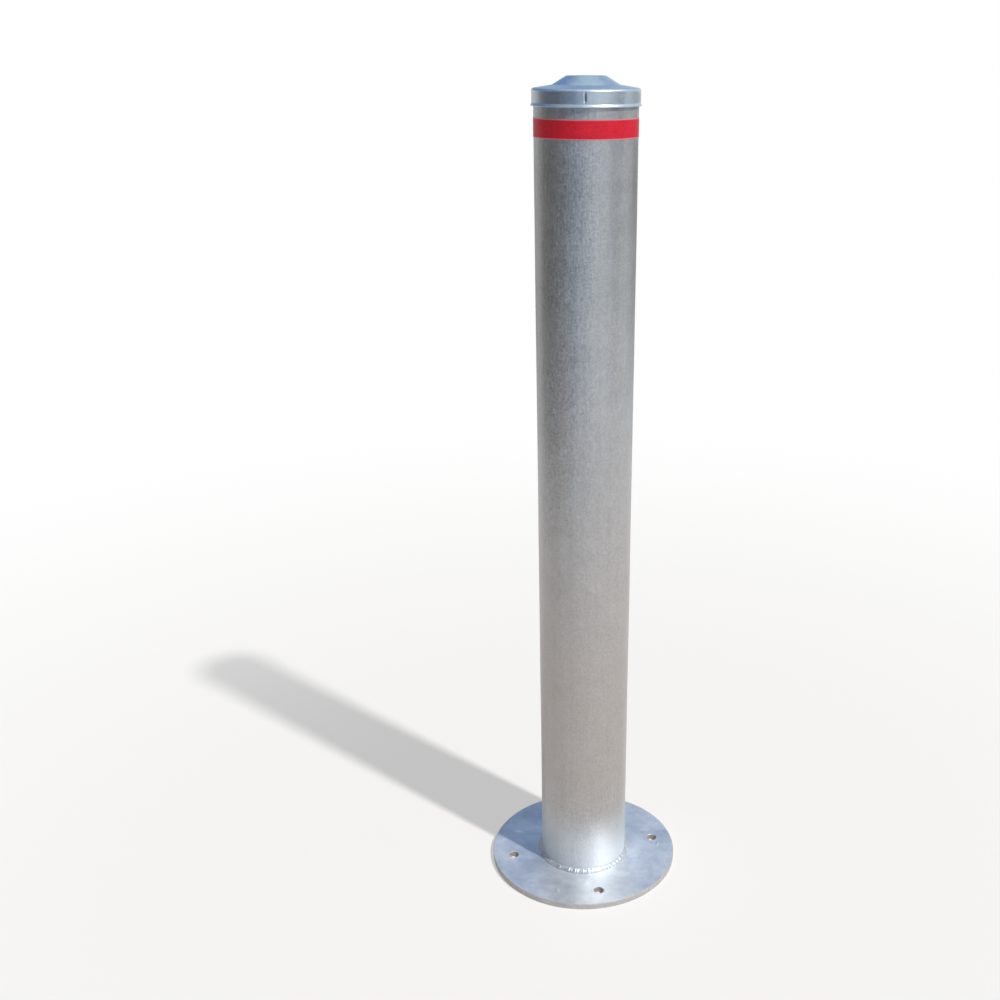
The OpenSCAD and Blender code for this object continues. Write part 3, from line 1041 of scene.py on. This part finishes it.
def drum_finish():
    """A wall that glows in graded colours by direction, and thins out to nothing at its foot and top."""
    material, tree, shader, place = start_material("drum_of_greys")
    axes = add(tree, "ShaderNodeSeparateXYZ", {"Vector": place}).outputs
    turn = add(tree, "ShaderNodeMath", {0: axes["Y"], 1: axes["X"]}, operation="ARCTAN2").outputs[0]
    share = add(tree, "ShaderNodeMapRange", {"Value": turn, "From Min": -math.pi, "From Max": math.pi})
    ramp = add(tree, "ShaderNodeValToRGB", {"Fac": share.outputs["Result"]})
    stops = ramp.color_ramp.elements
    for degrees, code in drum_colours[1:-1]:
        stops.new((degrees + 180) / 360).color = linear(code)
    stops[0].color = linear(drum_colours[0][1])
    stops[-1].color = linear(drum_colours[-1][1])
    foot = {0: axes["X"], 1: -FOOT_SLANT, 2: axes["Z"]}
    low = add(tree, "ShaderNodeMath", foot, operation="MULTIPLY_ADD").outputs[0]
    brim = {0: axes["Y"], 1: BRIM_SLANT, 2: axes["Z"]}
    high = add(tree, "ShaderNodeMath", brim, operation="MULTIPLY_ADD").outputs[0]
    thick = times(tree, rising(tree, low, *DRUM_FOOT), rising(tree, high, *DRUM_BRIM[::-1]))
    glow = add(tree, "ShaderNodeEmission", {"Color": ramp.outputs["Color"], "Strength": 1.0})
    clear = add(tree, "ShaderNodeBsdfTransparent")
    show(tree, add(tree, "ShaderNodeMixShader", {0: thick, 1: clear.outputs[0], 2: glow.outputs[0]}))
    tree.nodes.remove(shader)
    return material


drum_turns = np.radians(np.linspace(-180, 180, DRUM_PANELS + 1))
drum_wall = around(np.array([[DRUM_R, floor_z], [DRUM_R, DRUM_H]]), drum_turns)
drum = stage_sheet("studio_drum", drum_wall, drum_finish())
drum.visible_camera = False
drum.visible_diffuse = False
drum.visible_shadow = False
print(f"drum: {len(drum_colours)} colours, {2 * DRUM_R} m across")

# %% [markdown]
# ## The sky
# Out of doors a galvanised plate looks blue where it mirrors the sky. The world gives each kind
# of ray what it needs: white for the camera, a faint even fill for matt surfaces, and for mirrors
# a sky that goes by a ray's direction, whose X, Y and Z each run from -1 to 1.

# %% World
WORLD_FILL = 0.2
# The sky to the left and to the right, where the one turns into the other over these values of X.
CEILING_LEFT = "#6494B4"
CEILING_RIGHT = "#D0E8F6"
ACROSS = (-0.5, 0.5)
# A deeper band, which comes and goes over these values of Z and ends to the right over these of X.
CEILING_BAND = "#3C74C4"
BAND_RISE = (0.4, 0.5, 0.7, 0.8)
BAND_END = (0.55, 0.2)
# The paler sky overhead, the grey one in front, and white at the skyline.
CEILING_TOP = "#CEEBF8"
TOP_RISE = (0.78, 0.92)
CEILING_FRONT = "#C3CDD8"
FRONT_BACK = (-0.6, 0.0)
SKYLINE_RISE = (0.0, 0.22)
world = bpy.data.worlds.new("studio_world")
bpy.context.scene.world = world
world.use_nodes = True
sky = world.node_tree
sky.nodes.clear()
ray = add(sky, "ShaderNodeTexCoord").outputs["Generated"]
way = add(sky, "ShaderNodeSeparateXYZ", {"Vector": ray}).outputs
across = mixed(sky, rising(sky, way["X"], *ACROSS), CEILING_LEFT, CEILING_RIGHT)
band = times(sky, within(sky, way["Z"], *BAND_RISE), rising(sky, way["X"], *BAND_END))
banded = mixed(sky, band, across, CEILING_BAND)
topped = mixed(sky, rising(sky, way["Z"], *TOP_RISE), banded, CEILING_TOP)
whole = mixed(sky, rising(sky, way["Y"], *FRONT_BACK), CEILING_FRONT, topped)
ceiling = mixed(sky, rising(sky, way["Z"], *SKYLINE_RISE), "#FFFFFF", whole)
fill = add(sky, "ShaderNodeBackground", {"Color": (1, 1, 1, 1), "Strength": WORLD_FILL})
white = add(sky, "ShaderNodeBackground", {"Color": (1, 1, 1, 1), "Strength": 1.0})
mirrored = add(sky, "ShaderNodeBackground", {"Color": ceiling, "Strength": 1.0})
plain = either_ray(sky, "Is Camera Ray", "Is Transmission Ray")
both = add(sky, "ShaderNodeMixShader", {0: plain, 1: fill.outputs[0], 2: white.outputs[0]})
glossy = either_ray(sky, "Is Glossy Ray")
every = add(sky, "ShaderNodeMixShader", {0: glossy, 1: both.outputs[0], 2: mirrored.outputs[0]})
add(sky, "ShaderNodeOutputWorld", {"Surface": every.outputs[0]})
print(f"world: fill {WORLD_FILL}")

# %% [markdown]
# ## Light
# The key stands for a large lamp at the front right, 50 degrees round from the camera.
# It throws the tube's shadow over the plate to the rear left, with an edge that softens with distance.

# %% Key lamp
KEY_TURN = math.radians(-40)
KEY_HEIGHT = math.radians(50)
KEY_STRENGTH = 3.0
KEY_SPREAD = math.radians(2.5)


def aim(thing, place, target):
    """Put a lamp or camera at a place, looking at a target, with its own +Y upwards."""
    away = unit(np.array(place, float) - np.array(target, float))
    side = unit(np.cross([0, 0, 1], away))
    up = np.cross(away, side)
    turned = np.eye(4)
    turned[:3] = np.column_stack([side, up, away, place])
    thing.matrix_world = Matrix(turned)


key = bpy.data.objects.new("key_lamp", bpy.data.lights.new("key_lamp", "SUN"))
key.data.energy = KEY_STRENGTH
key.data.angle = KEY_SPREAD
bpy.context.scene.collection.objects.link(key)
level = math.cos(KEY_HEIGHT)
aim(key, (level * math.cos(KEY_TURN), level * math.sin(KEY_TURN), math.sin(KEY_HEIGHT)), (0, 0, 0))
print(f"key lamp: strength {KEY_STRENGTH}, {math.degrees(KEY_HEIGHT):.0f} degrees up")

# %% [markdown]
# ## Camera
# The photograph's camera was found by fitting a pinhole camera to the outlines of the tube, cap,
# tape, plate and holes. It stands 1.37 m away, just above the cap, and looks down by 23.5 degrees.
# The photograph is a crop, so the lens's axis isn't in the middle of the picture:
# the picture's frame is shifted by that much, which leaves the perspective as it is.

# %% Camera
CAMERA_AWAY = 1.3681
CAMERA_HIGH = 1.0222
CAMERA_TILT = math.radians(23.50)
CAMERA_ROLL = math.radians(0.21)
FOCAL_PX = 1189.77
AXIS_PX = (584.4, 570.0)
IMAGE_PX = 1000.0
SENSOR_MM = 36.0
camera = bpy.data.objects.new("camera", bpy.data.cameras.new("camera"))
camera.data.sensor_width = SENSOR_MM
camera.data.lens = FOCAL_PX / IMAGE_PX * SENSOR_MM
camera.data.shift_x = 0.5 - AXIS_PX[0] / IMAGE_PX
camera.data.shift_y = AXIS_PX[1] / IMAGE_PX - 0.5
tilted = Matrix.Rotation(math.pi / 2 - CAMERA_TILT, 4, "X") @ Matrix.Rotation(CAMERA_ROLL, 4, "Z")
camera.matrix_world = Matrix.Translation((0, -CAMERA_AWAY, CAMERA_HIGH)) @ tilted
bpy.context.scene.collection.objects.link(camera)
bpy.context.scene.camera = camera
bpy.context.scene.view_settings.view_transform = "Standard"
print(f"camera: {CAMERA_AWAY} m away, {CAMERA_HIGH} m high, lens {camera.data.lens:.1f} mm")
